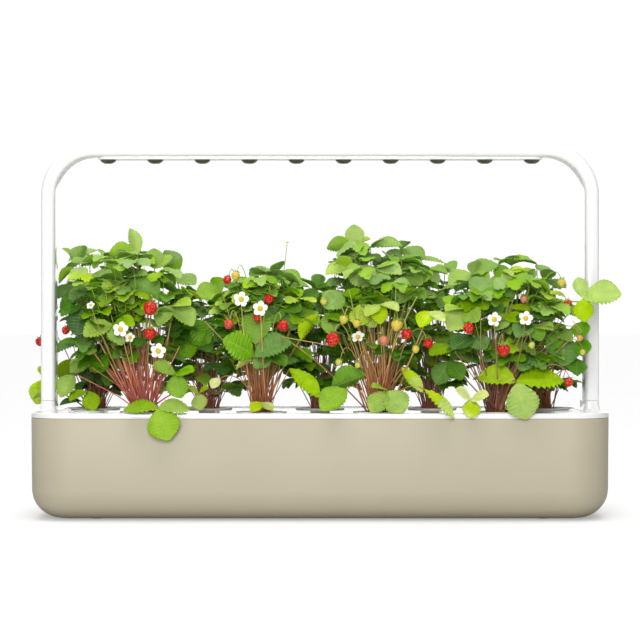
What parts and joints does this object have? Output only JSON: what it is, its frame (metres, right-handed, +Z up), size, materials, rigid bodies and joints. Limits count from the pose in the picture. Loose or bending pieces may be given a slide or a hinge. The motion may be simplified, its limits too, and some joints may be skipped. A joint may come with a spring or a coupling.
{
  "type": "countertop hydroponic garden",
  "caption": "Countertop garden: an oblong water tank under a growing tray with planted cups in two staggered rows, and an arch lamp over them.",
  "frame": {"origin": "middle of the footprint, on the surface that the feet stand on", "axes": "+X along the tank to the right, +Y to the back, +Z up; the front faces -Y"},
  "size_m": [0.6292, 0.216, 0.394],
  "materials": {
    "tank_plastic": "satin",
    "white_plastic": "gloss",
    "cup_plastic": "satin",
    "black_plastic": "satin",
    "lead_rubber": "matte",
    "contact_metal": "satin",
    "board_laminate": "satin",
    "float_foam": "matte",
    "foot_rubber": "matte",
    "soil": "matte",
    "foliage": "matte",
    "lens_plastic": "gloss"
  },
  "bodies": {
    "tank": {"water_tank": "tank_plastic", "foot_front_left": "foot_rubber", "foot_front_right": "foot_rubber", "foot_back_left": "foot_rubber", "foot_back_right": "foot_rubber"},
    "tray": {"growing_tray": "white_plastic", "filler_well": "white_plastic", "power_jack": "black_plastic", "socket_contact": "contact_metal"},
    "float": {"water_float": "float_foam"},
    "lamp": {"lamp_shell": "white_plastic", "lamp_cover": "white_plastic", "led_board": "board_laminate", "lamp_lead": "lead_rubber", "left_arm_plug": "black_plastic", "right_arm_plug": "black_plastic", "led_lens_1": "lens_plastic", "led_lens_2": "lens_plastic", "led_lens_3": "lens_plastic", "led_lens_4": "lens_plastic", "led_lens_5": "lens_plastic", "led_lens_6": "lens_plastic", "led_lens_7": "lens_plastic", "led_lens_8": "lens_plastic", "led_lens_9": "lens_plastic", "led_lens_10": "lens_plastic"},
    "pod_1": {"cup_1": "cup_plastic", "soil_plug_1": "soil", "plant_1": "foliage"},
    "pod_2": {"cup_2": "cup_plastic", "soil_plug_2": "soil", "plant_2": "foliage"},
    "pod_3": {"cup_3": "cup_plastic", "soil_plug_3": "soil", "plant_3": "foliage"},
    "pod_4": {"cup_4": "cup_plastic", "soil_plug_4": "soil", "plant_4": "foliage"},
    "pod_5": {"cup_5": "cup_plastic", "soil_plug_5": "soil", "plant_5": "foliage"},
    "pod_6": {"cup_6": "cup_plastic", "soil_plug_6": "soil", "plant_6": "foliage"},
    "pod_7": {"cup_7": "cup_plastic", "soil_plug_7": "soil", "plant_7": "foliage"},
    "pod_8": {"cup_8": "cup_plastic", "soil_plug_8": "soil", "plant_8": "foliage"},
    "pod_9": {"cup_9": "cup_plastic", "soil_plug_9": "soil", "plant_9": "foliage"}
  },
  "joints": [
    {"name": "tray_lift", "type": "slide", "parent": "tank", "child": "tray", "axis": [0, 0, 1], "range_m": [0, 0.09]},
    {"name": "lamp_lift", "type": "slide", "parent": "tray", "child": "lamp", "axis": [0, 0, 1], "range_m": [0, 0.28]},
    {"name": "float_rise", "type": "slide", "parent": "tray", "child": "float", "axis": [0, 0, 1], "range_m": [0, 0.03]},
    {"name": "pod_lift_1", "type": "slide", "parent": "tray", "child": "pod_1", "axis": [0, 0, 1], "range_m": [0, 0.06]},
    {"name": "pod_lift_2", "type": "slide", "parent": "tray", "child": "pod_2", "axis": [0, 0, 1], "range_m": [0, 0.06]},
    {"name": "pod_lift_3", "type": "slide", "parent": "tray", "child": "pod_3", "axis": [0, 0, 1], "range_m": [0, 0.06]},
    {"name": "pod_lift_4", "type": "slide", "parent": "tray", "child": "pod_4", "axis": [0, 0, 1], "range_m": [0, 0.06]},
    {"name": "pod_lift_5", "type": "slide", "parent": "tray", "child": "pod_5", "axis": [0, 0, 1], "range_m": [0, 0.06]},
    {"name": "pod_lift_6", "type": "slide", "parent": "tray", "child": "pod_6", "axis": [0, 0, 1], "range_m": [0, 0.06]},
    {"name": "pod_lift_7", "type": "slide", "parent": "tray", "child": "pod_7", "axis": [0, 0, 1], "range_m": [0, 0.06]},
    {"name": "pod_lift_8", "type": "slide", "parent": "tray", "child": "pod_8", "axis": [0, 0, 1], "range_m": [0, 0.06]},
    {"name": "pod_lift_9", "type": "slide", "parent": "tray", "child": "pod_9", "axis": [0, 0, 1], "range_m": [0, 0.06]}
  ]
}
